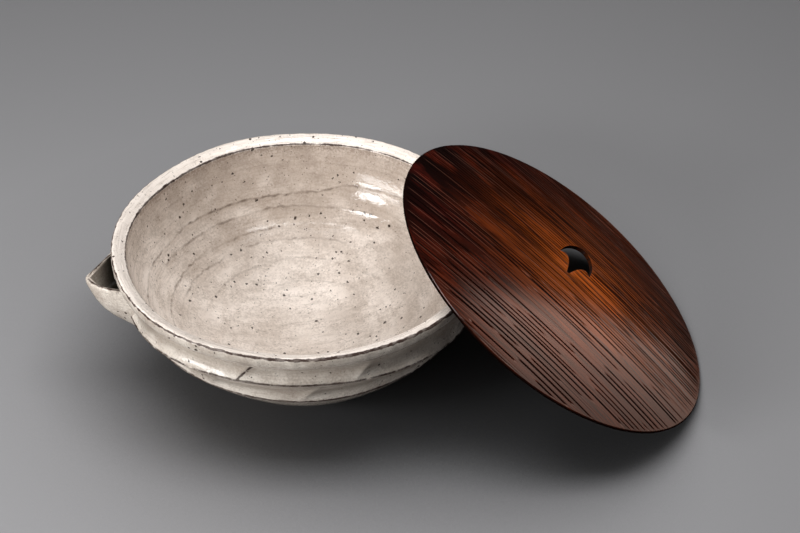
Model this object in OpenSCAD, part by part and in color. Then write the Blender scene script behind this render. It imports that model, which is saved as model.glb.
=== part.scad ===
// Flat water jar for the tea room, in the form of a spouted bowl, with its wooden lid leaning on the rim.
// The bowl stands on the table at z = 0 with its axis on z, and the spout points along -x.

/* [Mouth] */
// Radius of the mouth band's outer edge
rim_r = 135; // [120:1:150]
// Height of the mouth band's outer edge above the table
rim_h = 116; // [105:1:130]
// Width of the flat mouth band
rim_w = 10.5; // [8:0.5:13]
// Fall of the mouth band from its outer to its inner edge
rim_drop = 3; // [1:0.5:5]
// Rounding of the mouth band's two edges
rim_round = 2; // [1:0.5:3]
// Height of the thick edge that carries the mouth band
roll_h = 12; // [9:0.5:15]
// How far the thick edge stands out from the wall under it
roll_out = 4.5; // [3:0.5:6]

/* [Wall] */
// How far the upper carved ridge lies inside the mouth's outer edge
upper_ridge_in = 6; // [5:0.5:9]
// How far the upper carved ridge lies below the mouth
upper_ridge_drop = 28; // [24:1:32]
// How far the lower carved ridge lies inside the mouth's outer edge
lower_ridge_in = 18.5; // [15:0.5:22]
// How far the lower carved ridge lies below the mouth
lower_ridge_drop = 51; // [46:1:56]
// Depth of the hollows carved above the two ridges
scoop_depth = 2; // [1:0.5:3]
// Swelling of the wall between the lower ridge and the base
belly_out = 4; // [2:0.5:6]
// Thickness of the floor
floor_t = 11; // [8:0.5:14]
// Fullness of the inside curve, where 2 is an ellipse
inside_fullness = 1.85; // [1.7:0.05:2.1]

/* [Foot] */
// Outer radius of the foot ring where it stands on the table
foot_r = 46; // [40:1:50]
// Width of the foot ring
foot_w = 8; // [6:0.5:11]
// Height of the foot ring
foot_h = 9; // [7:0.5:12]
// How much the foot ring spreads towards the bowl
foot_spread = 2; // [0:0.5:4]
// How far the bowl's flat base reaches past the foot ring
base_step = 6; // [4:0.5:9]
// Rounding of the foot ring's edges on the table
foot_edge = 1; // [0.5:0.5:2]

/* [Spout] */
// How far the spout's tip reaches past the mouth's outer edge
spout_reach = 17.5; // [14:0.5:22]
// How far the spout's lips lie below the mouth
spout_drop = 12; // [12:0.5:15]
// Half the spout's width straight under the mouth's outer edge
spout_half_w = 18; // [15:0.5:22]
// How much wider each side of the spout is at the wall
spout_flare = 6; // [4:0.5:8]
// Depth of the spout from its lips to its keel
spout_depth = 34; // [28:1:38]
// Radius of the spout's round belly
spout_belly_r = 13; // [10:0.5:15]
// Thickness of the spout's clay
spout_wall = 3; // [2.5:0.5:4]
// Rounding inside the spout's corners
spout_inner_round = 0.6; // [0.4:0.1:1]
// Radius of the pouring hole through the wall
pour_r = 5; // [4:0.5:6]
// How far the pouring hole lies beside the spout's middle
pour_side = 10.5; // [9:0.5:11]
// How far the pouring hole's middle lies below the spout's lips
pour_drop = 7; // [6.5:0.5:8]

/* [Lid] */
// Radius of the lid
lid_r = 134; // [124:1:148]
// Thickness of the board in the middle of the lid
lid_t = 3.5; // [3:0.5:6]
// Thickness of the board at the lid's edge
lid_edge_t = 3; // [2.5:0.5:4]
// Height of the hollow under the lid
lid_dome = 7; // [5:0.5:10]
// Bevel along the lid's edge
lid_bevel = 0.8; // [0.4:0.1:1.1]
// Clearance between the locating ring and the mouth
ring_clearance = 3; // [2:0.5:5]
// Width of the locating ring
ring_w = 6; // [4:0.5:8]
// Depth that the locating ring reaches into the mouth
ring_reach = 3; // [2:0.5:4]

/* [Finger hole] */
// Half the width between the hole's two side points
hole_half_w = 14.5; // [12:0.5:17]
// Distance of the two side points from the lid's middle, across the grain
hole_shoulder = 27; // [24:0.5:30]
// Height of the hole's arch above its side points
hole_arch = 28.5; // [22:0.5:32]
// Distance of the middle point from the lid's middle
hole_stem = 9.5; // [7:0.5:13]
// Half the width of the middle point's blunt end
hole_stem_half_w = 1.2; // [0.8:0.1:2]
// Shift of the hole along the grain
hole_shift = 1.4; // [-4:0.2:4]

/* [Leaning lid] */
// Slope of the leaning lid
lean_tilt = 35; // [32:0.5:40]
// Direction in which the lid leans, turned from +x
lean_az = -11.4; // [-40:0.2:40]
// Turn of the lid's grain from the line of its slope
grain_turn = -24.6; // [-60:0.2:60]
// Clearance between the lid's underside and the mouth band
lean_gap = 0.3; // [0.2:0.1:0.6]
// Clearance between the lid's lowest edge and the table
table_gap = 0.2; // [0.1:0.1:0.5]

/* [Hidden] */
$fn = 96;

// Steps of the curves
band_steps = 8;
inside_steps = 28;
lid_steps = 28;
corner_steps = 5;
bite_steps = 10;
arch_step = 7.5;
ball_fn = 28;

// Room by which a cutting solid passes the face that it cuts
past = 1;

// Where the curve of the hole's bites is pulled to, as shares of the half width and of the arch
bite_pull_up = [0.65, 0.25];
bite_pull_in = [0.31, 0.12];

// The bowl's main points, as radius and height
mouth_r = rim_r - rim_w;
inner_edge_h = rim_h - rim_drop;
floor_h = foot_h + floor_t;
base = [foot_r + foot_spread + base_step, foot_h];
lower_ridge = [rim_r - lower_ridge_in, rim_h - lower_ridge_drop];
upper_ridge = [rim_r - upper_ridge_in, rim_h - upper_ridge_drop];
neck = [rim_r - roll_out, rim_h - roll_h];
roll_bottom = [rim_r, rim_h - roll_h / 2];

// The spout's main points
lip_h = rim_h - spout_drop;
spout_round = spout_wall + spout_inner_round;
wall_in = rim_r - roll_out - spout_wall;

// Length of the pouring hole's cutter, from under the mouth's outer edge into the open bowl
pour_length = rim_w + 2 * roll_out + spout_belly_r;

// The lid's two spheres and the ring under it
under_r = (pow(lid_r, 2) + pow(lid_dome, 2)) / (2 * lid_dome);
top_rise = lid_dome + lid_t - lid_edge_t;
top_r = (pow(lid_r, 2) + pow(top_rise, 2)) / (2 * top_rise);
ring_r = mouth_r - ring_clearance;
ring_drop = rim_drop + ring_reach;

// Place of the leaning lid: its lowest edge on the table and its hollow underside on the mouth's edge
edge_low = max((lid_r - lid_bevel) * sin(lean_tilt), lid_r * sin(lean_tilt) - lid_bevel * cos(lean_tilt));
ring_low = ring_r * sin(lean_tilt) + ring_drop * cos(lean_tilt);
lean_h = table_gap + max(edge_low, ring_low);
contact = [rim_r - rim_round, rim_h - rim_round];
rise = contact[1] - lean_h;
sphere_drop = under_r - lid_dome;
touch_r = under_r - lean_gap - rim_round;
half_b = sphere_drop * sin(lean_tilt);
rest_c = pow(rise, 2) + 2 * sphere_drop * rise * cos(lean_tilt) + pow(sphere_drop, 2) - pow(touch_r, 2);
lean_x = contact[0] + half_b - sqrt(pow(half_b, 2) - rest_c);

// A point on the straight line from a to b
function between(a, b, t) = a + (b - a) * t;

// The direction that points out of the wall on the way up from a to b
function outward(a, b) = [b[1] - a[1], a[0] - b[0]] / norm(b - a);

// A band of the wall from a to b, swollen by a positive depth or hollowed by a negative one
function band(a, b, depth) = [
    for (i = [0 : band_steps - 1])
        let (t = i / band_steps)
        between(a, b, t) + outward(a, b) * depth * 4 * t * (1 - t)
];

// A rounded corner
function corner(middle, r, from, to) = [
    for (i = [0 : corner_steps])
        let (a = between(from, to, i / corner_steps))
        middle + r * [cos(a), sin(a)]
];

// The bowl's outside, from the middle of its base up to the mouth's outer edge
function bowl_outside() = concat(
    [[0, foot_h]],
    band(base, lower_ridge, belly_out),
    band(lower_ridge, upper_ridge, -scoop_depth),
    band(upper_ridge, neck, -scoop_depth),
    [neck, roll_bottom],
    corner(contact, rim_round, 0, 90)
);

// The bowl's inside, from the mouth's inner edge down to the middle of its floor
function bowl_inside() = let (top = inner_edge_h - rim_round, k = 2 / inside_fullness) concat(
    corner([mouth_r + rim_round, top], rim_round, 90, 180),
    [for (i = [1 : inside_steps - 1])
        let (a = 90 * i / inside_steps)
        [mouth_r * pow(cos(a), k), top - (top - floor_h) * pow(sin(a), k)]],
    [[0, floor_h]]
);

// Heights of the lid's two faces at a distance from its middle
function under_h(r) = sqrt(pow(under_r, 2) - pow(r, 2)) - sphere_drop;
function top_h(r) = sqrt(pow(top_r, 2) - pow(r, 2)) - top_r + lid_dome + lid_t;

// The lid's hollow underside, from its middle to the bevel
function lid_underside() = [
    for (i = [0 : lid_steps])
        let (r = (lid_r - lid_bevel) * i / lid_steps)
        [r, under_h(r)]
];

// The lid's domed top, from the bevel back to its middle
function lid_top() = [
    for (i = [lid_steps : -1 : 0])
        let (r = (lid_r - lid_bevel) * i / lid_steps)
        [r, top_h(r)]
];

// A curve from a to d that b and c pull
function pulled(a, b, c, d, t) =
    pow(1 - t, 3) * a + 3 * pow(1 - t, 2) * t * b + 3 * (1 - t) * t * t * c + pow(t, 3) * d;

// One of the two bites beside the hole's middle point, from the side point to the middle point
function hole_bite() = let (
    side_point = [-hole_half_w, hole_shoulder],
    pull_up = [-bite_pull_up[0] * hole_half_w, hole_shoulder + bite_pull_up[1] * hole_arch],
    pull_in = [-bite_pull_in[0] * hole_half_w, hole_shoulder + bite_pull_in[1] * hole_arch],
    middle_point = [-hole_stem_half_w, hole_stem]
) [for (i = [0 : bite_steps]) pulled(side_point, pull_up, pull_in, middle_point, i / bite_steps)];

// The whole outline of the finger hole
function hole_outline() = let (bite = hole_bite()) concat(
    [for (a = [0 : arch_step : 180 - arch_step]) [hole_half_w * cos(a), hole_shoulder + hole_arch * sin(a)]],
    bite,
    [for (i = [bite_steps : -1 : 1]) [-bite[i][0], bite[i][1]]]
);

// The space that the bowl fills inside its outer face
module bowl_filled() {
    rotate_extrude()
        polygon(concat(bowl_outside(), [[0, rim_h]]));
}

// The beak's body: round corners along the lips and a round belly, drawn in by an inset
module beak(inset) {
    corner_r = spout_round - inset;
    lips = [
        [-rim_r - spout_reach + spout_round, 0],
        [-rim_r, spout_half_w],
        [-rim_r, -spout_half_w],
        [-wall_in, spout_half_w + spout_flare],
        [-wall_in, -spout_half_w - spout_flare]
    ];
    hull() {
        for (p = lips)
            translate([p[0], p[1], lip_h])
                sphere(corner_r, $fn = ball_fn);
        translate([-wall_in, 0, lip_h - spout_depth + spout_belly_r])
            sphere(spout_belly_r - inset, $fn = ball_fn);
    }
}

// Carries a piece of the lid from the lid's own frame to its place against the bowl
module leaning() {
    rotate([0, 0, lean_az])
        translate([lean_x, 0, lean_h])
            rotate([0, lean_tilt, 0])
                rotate([0, 0, grain_turn])
                    children();
}

// The thrown bowl with its thick mouth, carved ridges and pouring hole
module bowl_body() {
    color("antiquewhite")
        difference() {
            rotate_extrude()
                polygon(concat(bowl_outside(), bowl_inside()));
            translate([-rim_r, -pour_side, lip_h - pour_drop])
                rotate([0, 90, 0])
                    cylinder(r = pour_r, h = pour_length);
        }
}

// The ring of clay under the base, with its flat face on the table
module foot_ring() {
    inner_r = foot_r - foot_w;
    color("peru")
        rotate_extrude()
            polygon([
                [inner_r + foot_edge, 0],
                [foot_r - foot_edge, 0],
                [foot_r, foot_edge],
                [foot_r + foot_spread, foot_h],
                [inner_r, foot_h],
                [inner_r, foot_edge]
            ]);
}

// The open beak that is luted to the wall under the mouth
module pouring_spout() {
    span = 2 * (rim_r + spout_reach);
    color("antiquewhite")
        difference() {
            beak(0);
            beak(spout_wall);
            translate([-span / 2, -span / 2, lip_h])
                cube([span, span, rim_h]);
            bowl_filled();
        }
}

// The domed board with its pierced finger hole
module lid_board() {
    color("saddlebrown")
        leaning()
            difference() {
                rotate_extrude()
                    polygon(concat(
                        lid_underside(),
                        [[lid_r, lid_bevel], [lid_r, lid_edge_t - lid_bevel]],
                        lid_top()
                    ));
                translate([hole_shift, 0, -past])
                    linear_extrude(lid_dome + lid_t + 2 * past)
                        polygon(hole_outline());
            }
}

// The hoop under the lid that keeps it in the mouth
module lid_locating_ring() {
    color("sienna")
        leaning()
            rotate_extrude()
                polygon(concat(
                    [[ring_r - ring_w, -ring_drop], [ring_r, -ring_drop]],
                    [for (i = [0 : corner_steps])
                        let (r = ring_r - ring_w * i / corner_steps)
                        [r, under_h(r)]]
                ));
}

bowl_body();
foot_ring();
pouring_spout();
lid_board();
lid_locating_ring();
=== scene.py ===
# %% [markdown]
# # A flat water jar with a spout, and its lid leaning on the rim
# The jar is a thrown stoneware bowl under a milky glaze, and the lid is a thin domed board under wiped lacquer.
# The frame brings the solids of the construction in. This lesson dresses them in five steps: studio, bowl, spout,
# lid and finishes.

import bmesh
import bpy
import numpy as np
from mathutils import Matrix, Vector


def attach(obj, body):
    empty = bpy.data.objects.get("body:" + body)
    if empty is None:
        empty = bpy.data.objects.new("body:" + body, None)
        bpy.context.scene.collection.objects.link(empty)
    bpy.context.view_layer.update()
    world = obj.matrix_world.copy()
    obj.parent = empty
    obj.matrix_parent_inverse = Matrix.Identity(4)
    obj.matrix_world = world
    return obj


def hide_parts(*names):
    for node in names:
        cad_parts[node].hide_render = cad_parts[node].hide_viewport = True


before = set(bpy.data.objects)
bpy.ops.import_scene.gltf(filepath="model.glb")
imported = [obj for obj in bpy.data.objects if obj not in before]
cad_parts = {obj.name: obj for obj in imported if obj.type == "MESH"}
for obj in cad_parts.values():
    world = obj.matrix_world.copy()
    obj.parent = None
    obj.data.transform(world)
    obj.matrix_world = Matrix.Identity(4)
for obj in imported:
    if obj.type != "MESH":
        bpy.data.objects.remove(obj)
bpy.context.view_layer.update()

# %% [markdown]
# ## The camera
# The picture was taken from well above the rim with a longish lens, so the two round edges are quiet ellipses.
# The place was found by fitting the ellipses of the mouth and of the lid, so it is written as a point and a point
# to look at.

# %% Camera
camera_place = Vector((-0.1293, -1.1350, 0.9647))
camera_aim = Vector((0.06874, -0.01212, 0.0901))
camera_data = bpy.data.cameras.new("photo_camera")
camera_data.lens = 90
camera_data.sensor_width = 36
camera = bpy.data.objects.new("photo_camera", camera_data)
camera.location = camera_place
camera.rotation_mode = "QUATERNION"
camera.rotation_quaternion = (camera_aim - camera_place).to_track_quat("-Z", "Y")
bpy.context.collection.objects.link(camera)
scene = bpy.context.scene
scene.camera = camera
scene.view_settings.view_transform = "Standard"
print("camera", round((camera_aim - camera_place).length, 3), "m from its aim")

# %% [markdown]
# ## Nodes for the finishes
# A finish is a tree of nodes. The first helper puts a node in, sets its settings and its sockets, and links a socket
# where it is given another node's output. The others are short names for the nodes that are used most.

# %% Helpers for nodes


def put(tree, kind, settings=None, **sockets):
    """A node of this kind. A socket is called by its name, or by its number after an underscore."""
    node = tree.nodes.new(kind)
    for key, value in (settings or {}).items():
        setattr(node, key, value)
    for key, value in sockets.items():
        key = int(key[1:]) if key[0] == "_" and key[1:].isdigit() else key.replace("_", " ")
        if isinstance(value, bpy.types.NodeSocket):
            tree.links.new(value, node.inputs[key])
        else:
            node.inputs[key].default_value = value
    return node


def math_node(tree, operation, a, b):
    """The one output of a Math node."""
    return put(tree, "ShaderNodeMath", {"operation": operation}, _0=a, _1=b).outputs[0]


def times(tree, a, b):
    return math_node(tree, "MULTIPLY", a, b)


def plus(tree, a, b):
    return math_node(tree, "ADD", a, b)


def minus(tree, a, b):
    return math_node(tree, "SUBTRACT", a, b)


def spread(tree, value, low, high, to_low=0.0, to_high=1.0):
    """Carries the span from low to high over to another span, and stops at its ends."""
    return put(tree, "ShaderNodeMapRange", _0=value, _1=low, _2=high, _3=to_low, _4=to_high).outputs[0]


def blend_colour(tree, share, a, b):
    """Colour a where share is 0 and colour b where it is 1."""
    return put(tree, "ShaderNodeMix", {"data_type": "RGBA"}, _0=share, _6=a, _7=b).outputs[2]


def new_material(name):
    """A material with its tree and its shader."""
    material = bpy.data.materials.new(name)
    material.use_nodes = True
    tree = material.node_tree
    return material, tree, tree.nodes["Principled BSDF"]


print("node helpers ready")

# %% [markdown]
# ## The studio
# The jar stands on plain grey paper. No horizon shows, so a flat floor will do. Paper close under a pot gets little
# light from any side, so an ambient occlusion node deepens its shade there. In mirrors the paper is dark, which keeps
# the lacquer's colour deep.

# %% Floor
floor_mesh = bmesh.new()
bmesh.ops.create_grid(floor_mesh, x_segments=8, y_segments=8, size=3.0)
floor_data = bpy.data.meshes.new("studio_floor")
floor_mesh.to_mesh(floor_data)
floor_mesh.free()
studio_floor = bpy.data.objects.new("studio_floor", floor_data)
bpy.context.collection.objects.link(studio_floor)
floor_paint, tree, shader = new_material("pale_paper")
mirrored = put(tree, "ShaderNodeLightPath").outputs["Is Glossy Ray"]
open_sky = put(tree, "ShaderNodeAmbientOcclusion", {"samples": 8}, Distance=0.22).outputs["AO"]
open_sky = spread(tree, open_sky, 0.36, 0.95)
paper = blend_colour(tree, open_sky, (0.045, 0.045, 0.047, 1), (0.29, 0.287, 0.295, 1))
tree.links.new(blend_colour(tree, mirrored, paper, (0.02, 0.02, 0.02, 1)), shader.inputs["Base Color"])
shader.inputs["Roughness"].default_value = 0.8
floor_data.materials.append(floor_paint)
print("floor", [round(side, 1) for side in studio_floor.dimensions])

# %% [markdown]
# Three soft lamps light the table: a broad one overhead, a low panel on the left that lights the bowl's side, and a
# small one on the left that leaves the short highlights on the ledges inside the bowl.

# %% Lamps


def soft_lamp(name, place, aim, sides, watts):
    data = bpy.data.lights.new(name, "AREA")
    data.shape, data.energy = "RECTANGLE", watts
    data.size, data.size_y = sides
    lamp = bpy.data.objects.new(name, data)
    lamp.location = place
    lamp.rotation_mode = "QUATERNION"
    lamp.rotation_quaternion = (Vector(aim) - Vector(place)).to_track_quat("-Z", "Y")
    bpy.context.collection.objects.link(lamp)
    print(name, sides, "m", watts, "W")


soft_lamp("top_lamp", (-0.04, -0.22, 1.36), (0.0, 0, 0.08), (1.4, 0.5), 18.0)
soft_lamp("left_panel", (-1.25, -0.60, 0.30), (0, 0, 0.05), (0.8, 0.4), 9.6)
soft_lamp("left_lamp", (-0.911, -0.541, 0.600), (0.06, 0.09, 0.075), (0.38, 0.14), 5.0)

# %% [markdown]
# The sheen on the lid is a mirrored sheet of warm light, low at the far right. A lamp there would light the bowl too.
# So the sheet is drawn in the world by its bearing and its height, and only mirrors see it.

# %% World
world = bpy.data.worlds.new("studio")
scene.world = world
world.use_nodes = True
tree = world.node_tree
tree.nodes.clear()
toward = put(tree, "ShaderNodeSeparateXYZ", _0=put(tree, "ShaderNodeTexCoord").outputs["Generated"]).outputs
bearing = math_node(tree, "ARCTAN2", toward[1], toward[0])
sheet_edge = spread(tree, bearing, 0.655, 0.685, 1.0, 0.0)
sheet_fade = math_node(tree, "POWER", spread(tree, bearing, 0.38, 0.66), 1.3)
sheet_top = spread(tree, toward[2], 0.345, 0.38, 1.0, 0.0)
sheet_low = spread(tree, toward[2], 0.04, 0.30, 0.6, 1.0)
sheet = times(tree, times(tree, sheet_edge, sheet_fade), times(tree, sheet_top, sheet_low))
sheet_colour = blend_colour(tree, sheet, (0.02, 0.02, 0.02, 1), (3.05, 2.2, 1.84, 1))
in_mirrors = put(tree, "ShaderNodeBackground", Color=sheet_colour, Strength=1.0).outputs[0]
ambient = put(tree, "ShaderNodeBackground", Color=(0.95, 0.97, 1.0, 1), Strength=0.01).outputs[0]
glossy = put(tree, "ShaderNodeLightPath").outputs["Is Glossy Ray"]
mixed = put(tree, "ShaderNodeMixShader", _0=glossy, _1=ambient, _2=in_mirrors).outputs[0]
put(tree, "ShaderNodeOutputWorld", Surface=mixed)
print("world", len(tree.nodes), "nodes")

# %% [markdown]
# ## The bowl's shape
# The bowl is thrown, so every height is a nearly round ring, but the hand shows: the mouth wavers, the trimming tool
# left two rows of shallow scoops outside, and the fingers left turns inside. A plain lathe shape can't have that. So
# the mesh is a net of rows round the axis, and each row is bent a little by its angle. Rows run exactly along the
# edges where the glaze breaks brown, so that a number kept at each point, the gap to the nearest edge, can draw those
# lines in the finish.

# %% Uneven rings and soft steps


def ripple(angle, lobes, seed):
    """Smooth unevenness round the axis, about -1 to 1, the same at every run."""
    rng = np.random.default_rng(seed)
    parts = [rng.uniform(0.6, 1.0) * np.sin(n * angle + rng.uniform(0, 2 * np.pi)) for n in lobes]
    return np.sum(parts, axis=0) / np.sqrt(len(lobes))


def ramp(x, a, b):
    """0 below a, 1 above b, and a smooth step between."""
    t = np.clip((np.asarray(x, float) - a) / (b - a), 0, 1)
    return t * t * (3 - 2 * t)


def hump(angle_deg, middle, width):
    """1 at one angle and less away from it."""
    return np.exp(-(((angle_deg - middle) / width) ** 2))


print("a step's middle", float(ramp(0.5, 0, 1)))

# %% Sizes of the bowl, as in the construction (mm)
MM = 0.001
columns = 480
angle = np.linspace(-np.pi, np.pi, columns, endpoint=False)
angle_deg = np.degrees(angle)
rim_r, rim_h, rim_drop, rim_round = 135.0, 116.0, 3.0, 2.0
mouth_r, mouth_h, floor_h, fullness = 124.5, 111.0, 20.0, 1.85
base_r, base_h = 54.0, 9.0
lean_deg = -11.4

# the lid rests here, so the mouth keeps its true height
under_lid = hump(angle_deg, lean_deg, 34)
rim_wave = 0.4 * ripple(angle, (3, 4, 6, 7), 4) * (1 - under_lid)
rim_rise = (0.5 * ripple(angle, (2, 3, 5, 8), 9) + 0.2) * (1 - under_lid) - 0.3 * under_lid
rim_nicks = 0.22 * ripple(angle, tuple(range(34, 110, 5)), 12)
print("mouth wavers by", round(float(np.ptp(rim_rise)), 2), "mm")

# %% [markdown]
# Outside, the trimming tool took slanting scoops between two ridges. They could be sculpted by hand. Here the ends of
# the scoops are listed as angles, so that each can be moved by itself: the ones in front were placed one by one, and
# the others carry the rhythm on round the back.

# %% Ridges and scoops of the trimming tool
from_front = angle - np.radians(-105)
upper_ridge_z = 84.2 + 2.4 * np.cos(2 * from_front) + 1.4 * np.cos(3 * from_front)
upper_ridge = (129 + 0.5 * ripple(angle, (4, 7, 9), 21), upper_ridge_z)
lower_ridge = (116.5 + 0.5 * ripple(angle, (3, 6), 23), 63.8 + 1.3 * ripple(angle, (2, 3, 5), 22))
upper_ends = np.array([-154, -116, -79, -40, -3, 36, 71, 110, 147, 206])
lower_ends = np.array([-170, -128, -95, -52, -18, 24, 58, 101, 133, 190])
scoop_slant = 0.8


def scoop(ends, over_middle):
    """Depth of the scoops, 0 at their slanting ends and 1 in their middles, and the gap to an end in degrees."""
    turn = (angle_deg - np.degrees(scoop_slant * over_middle / 130) - ends[0]) % 360 + ends[0]
    index = np.clip(np.searchsorted(ends, turn, side="right") - 1, 0, len(ends) - 2)
    length = ends[index + 1] - ends[index]
    share = (turn - ends[index]) / length
    return np.sin(np.pi * share) ** 0.55, np.minimum(share, 1 - share) * length


print("scoops", len(upper_ends) - 1, "above and", len(lower_ends) - 1, "below")

# %% [markdown]
# The wall is three bands of rows from the base to the neck. The lowest swells out, and the two above it are scooped.

# %% Wall from the base to the neck


def wall_band(low, high, steps, hollow, ends=None, scoop_mm=0.0):
    """Rows from the low edge to just under the high edge, hollowed between them."""
    rows = []
    for t in (np.arange(steps) / steps) ** 1.5:
        radius = low[0] + (high[0] - low[0]) * t
        height = low[1] + (high[1] - low[1]) * t
        depth = hollow * 4 * t * (1 - t)
        if ends is not None:
            over_middle = height - (low[1] + high[1]) / 2
            depth = depth + scoop_mm * scoop(ends, over_middle)[0] * np.sin(np.pi * t) ** 0.8
        rows.append((radius - depth, height))
    return rows


band_rows = 20
neck = (130.5 + 0.6 * rim_wave, 104 + 0.5 * rim_rise)
flat = np.ones(columns)
base_edge = (flat * base_r, flat * base_h)
rows = [(flat * r, flat * base_h) for r in (18.0, 32.0, 44.0, 50.0)]
rows += wall_band(base_edge, lower_ridge, 26, -4.0 + 0.5 * ripple(angle, (2, 3, 5), 31))
row_lower = len(rows)
rows += wall_band(lower_ridge, upper_ridge, band_rows, 1.4, lower_ends, 3.0)
row_upper = len(rows)
rows += wall_band(upper_ridge, neck, band_rows, 0.8, upper_ends, 4.2)
print("wall rows", len(rows))

# %% [markdown]
# The mouth is a thick band that falls a little to the inside, with both edges rounded by a wet finger. The outer edge
# is nicked and swells out over the neck.

# %% Thick edge and mouth band
edge_r, edge_h = rim_r + rim_wave + rim_nicks, rim_h + rim_rise
for t in np.linspace(0, 1, 7)[:-1]:
    swell = np.sin(t * np.pi / 2)
    rows.append((neck[0] + (edge_r - neck[0]) * swell, neck[1] + (edge_h - rim_round - 3 - neck[1]) * t))
for t in np.linspace(0, 1, 7)[:-1]:
    turn = t * np.pi / 2
    rows.append((edge_r - rim_round + rim_round * np.cos(turn), edge_h - rim_round + rim_round * np.sin(turn)))
    if t < 0.4:
        row_rim = len(rows)
band_out, band_in = edge_r - rim_round, mouth_r + 0.8 * rim_wave + rim_round
for t in np.linspace(0, 1, 11)[:-1]:
    crown = 0.5 * np.sin(np.pi * t) + 0.18 * ripple(angle, (9, 14, 23), int(40 + 9 * t))
    rows.append((band_out + (band_in - band_out) * t, edge_h - rim_drop * t + crown))
for t in np.linspace(0, 1, 6)[:-1]:
    turn = np.pi / 2 * (1 + t)
    rows.append((band_in + rim_round * np.cos(turn), edge_h - rim_drop - rim_round + rim_round * np.sin(turn)))
    if t < 0.5:
        row_mouth = len(rows)
row_inside = len(rows)
print("rows up to the mouth", row_inside)

# %% [markdown]
# Inside, a potter's fingers leave turns: low ledges that rise slowly to a fine line and drop soon after it. The lines
# were placed on the far wall. Each has a depth below the mouth, a waver, a force for its colour, a rise for its
# ledge, and the angles where it starts and ends.

# %% Turns of the fingers
turns = (
    # depth, waver, lobes, seed, force, rise, start, end
    (15.5, 1.0, (2, 5, 9), 51, 0.3, 0.3, 20, 160),
    (37.6, 0.9, (3, 8, 13), 52, 1.0, 1.0, 25, 205),
    (47.8, 1.1, (2, 7, 12), 53, 0.9, 0.9, 50, 165),
    (62.6, 1.2, (3, 5, 11), 54, 0.95, 0.1, 75, 220),
    (72.8, 1.3, (2, 6, 10), 55, 0.8, 0.15, 50, 178),
    (90.0, 1.6, (2, 4, 7), 56, 0.45, 0.2, 20, 170),
    (109.0, 2.0, (2, 3, 6), 57, 0.3, 0.15, -60, 120),
)
line_force, ledge_rise, starts, stops = (np.array([turn[k] for turn in turns])[:, None] for k in (4, 5, 6, 7))
stack = np.array([depth + waver * ripple(angle, lobes, seed) for depth, waver, lobes, seed, *_ in turns])
to_right = ramp(angle_deg, 20, 40) * (1 - ramp(angle_deg, 62, 78))
stack[1] -= 9 * to_right
stack += 0.4 * ripple(angle, tuple(range(26, 96, 7)), 58)


def between(first, last):
    """1 between two angles and 0 outside them, with soft ends, for each line."""
    offset, length = (angle_deg[None] - first) % 360, last - first
    return ramp(offset, 0, 25) * (1 - ramp(offset, length - 25, length))


force = line_force * between(starts, stops)
ledge_force = ledge_rise * between(starts - 30, stops)
print("turns", len(turns))

# %% [markdown]
# The smooth inside is one squarish curve from the mouth to the middle of the floor. Each row is pushed off it by the
# ledges, by a slow unevenness and by fine throwing rings, so the light breaks on real clay and not on a painted line.

# %% Inside of the bowl
fine = np.linspace(0, np.pi / 2, 4001)
fine_r = mouth_r * np.cos(fine) ** (2 / fullness)
fine_z = mouth_h - (mouth_h - floor_h) * np.sin(fine) ** (2 / fullness)
fine_s = np.concatenate([[0], np.cumsum(np.hypot(np.diff(fine_r), np.diff(fine_z)))])


def inside_line(s):
    """Radius and height of the smooth inside, s millimetres down from the mouth."""
    return np.array([np.interp(s, fine_s, fine_r), np.interp(s, fine_s, fine_z)])


gap_here, force_here = [], []
inside_s = np.linspace(0, fine_s[-1], 190)[:-1]
for s in inside_s:
    gaps = np.abs(stack - s)
    nearest = np.argmin(gaps + 4 * (1 - force), axis=0)[None]
    gap_here.append(np.take_along_axis(gaps, nearest, 0)[0])
    force_here.append(np.take_along_axis(force, nearest, 0)[0])
    past = s - stack
    ledge = np.where(past < 0, np.exp(np.minimum(past, 0) / 6.0), np.exp(-np.maximum(past, 0) / 3.0))
    uneven = 0.22 * ripple(angle + s / 60, (3, 5, 8), 61) * ramp(s, 6, 30)
    rings = 0.08 * np.sin(s / 2.3 + 2 * ripple(angle, (1, 2), 62)) * ramp(s, 8, 25) * (1 - ramp(s, 95, 130))
    swell = 0.8 * np.sum(ledge_force * ledge, axis=0) + uneven + rings
    r, z = inside_line(s)
    dr, dz = inside_line(s + 0.5) - inside_line(s - 0.5)
    size = np.hypot(dr, dz)
    lean = 1 - ramp(s, 0, 40)
    rows.append((r + 0.8 * rim_wave * lean + swell * dz / size, z + rim_rise * lean - swell * dr / size))
print("inside rows", len(inside_s), "line length", round(float(fine_s[-1]), 1), "mm")

# %% [markdown]
# ## Marks for the glaze
# On an edge the glaze runs thin, and the iron of the clay shows brown. Each point of the net keeps the gap to its
# nearest edge, measured along its column. The line on the mouth's outer edge is widest in front, the one on its inner
# edge at the back left, and the ridges fade in and out. One end of a scoop in front is sharp enough for a line too. A
# painted picture could hold the lines, but numbers on the points follow the shape when it changes.

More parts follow.
